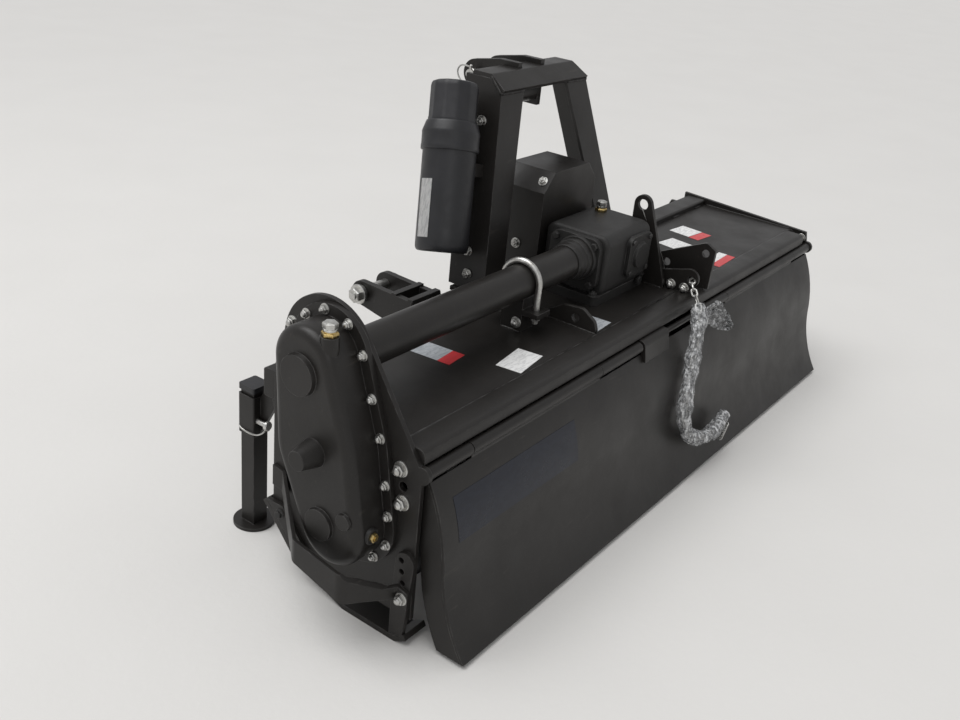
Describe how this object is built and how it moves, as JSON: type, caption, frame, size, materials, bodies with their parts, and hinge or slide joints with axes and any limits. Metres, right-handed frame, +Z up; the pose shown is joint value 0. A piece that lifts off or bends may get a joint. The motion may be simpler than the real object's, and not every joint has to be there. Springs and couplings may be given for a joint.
{
  "type": "rotary tiller",
  "caption": "Tractor-mounted rotary tiller: hooded bladed rotor between end plates, side gear drive, hinged tailgate, three-point mast and parking stands.",
  "frame": {"origin": "middle of the footprint's box, on the floor", "axes": "+X right as seen from behind, +Y forward to the tractor, +Z up"},
  "size_m": [1.639, 0.619, 0.757],
  "materials": {
    "black_paint": "satin black powder coat",
    "cast_black": "black paint over rough casting",
    "tine_black": "black dipped forging",
    "black_plastic": "moulded black plastic",
    "zinc": "zinc plated",
    "bare_steel": "oiled bare steel",
    "brass": "yellow passivated",
    "wrapped_chain": "zinc chain in clear bubble wrap"
  },
  "bodies": {
    "frame": {"bumper_strap": "black_paint", "canister_bracket": "black_paint", "canister_cap": "black_plastic", "case_cover": "black_paint", "chain_hook": "wrapped_chain", "chain_plate": "black_paint", "drive_tube": "black_paint", "front_bar": "black_paint", "front_shield": "black_paint", "gearbox": "cast_black", "gearbox_covers": "cast_black", "hinge_rod": "black_paint", "hood": "black_paint", "left_bracket": "black_paint", "left_clevis": "black_paint", "left_hitch_pin": "zinc", "left_mast_leg": "black_paint", "left_plate": "black_paint", "left_skid": "black_paint", "left_stand_sleeve": "black_paint", "lift_lug": "black_paint", "link_ears": "black_paint", "manual_canister": "black_plastic", "mast_cap": "black_paint", "oil_plugs": "brass", "pto_guard": "black_paint", "right_bearing": "black_paint", "right_bracket": "black_paint", "right_clevis": "black_paint", "right_hitch_pin": "zinc", "right_mast_leg": "black_paint", "right_plate": "black_paint", "right_skid": "black_paint", "right_stand_sleeve": "black_paint", "stand_pins": "zinc", "top_link_pin": "zinc", "tube_clamp": "zinc", "tube_saddle": "black_paint"},
    "tailgate": {"tailgate": "black_paint", "gate_ends": "black_paint", "gate_clip": "black_paint", "gate_chain": "wrapped_chain"},
    "rotor": {"rotor_shaft": "tine_black", "rotor_flanges": "tine_black", "left_hand_tines": "tine_black", "right_hand_tines": "tine_black"},
    "input_shaft": {"input_shaft": "bare_steel"},
    "left_stand": {"left_stand": "black_paint", "left_stand_cap": "black_plastic"},
    "right_stand": {"right_stand": "black_paint", "right_stand_cap": "black_plastic"}
  },
  "joints": [
    {"name": "tailgate_hinge", "type": "hinge", "parent": "frame", "child": "tailgate", "pos_m": [0.0355, -0.2065, 0.31], "axis": [-1, 0, 0], "range_deg": [0, 80]},
    {"name": "rotor_spin", "type": "hinge", "parent": "frame", "child": "rotor", "pos_m": [0.0355, -0.0855, 0.19], "axis": [1, 0, 0], "continuous": true},
    {"name": "input_spin", "type": "hinge", "parent": "frame", "child": "input_shaft", "pos_m": [0.0355, 0.0495, 0.433], "axis": [0, 1, 0], "continuous": true},
    {"name": "left_stand_slide", "type": "slide", "parent": "frame", "child": "left_stand", "axis": [0, 0, 1], "range_m": [0, 0.14]},
    {"name": "right_stand_slide", "type": "slide", "parent": "frame", "child": "right_stand", "axis": [0, 0, 1], "range_m": [0, 0.14]}
  ],
  "couplings": [
    {"joint": "input_spin", "follows": "rotor_spin", "ratio": 2.6}
  ]
}
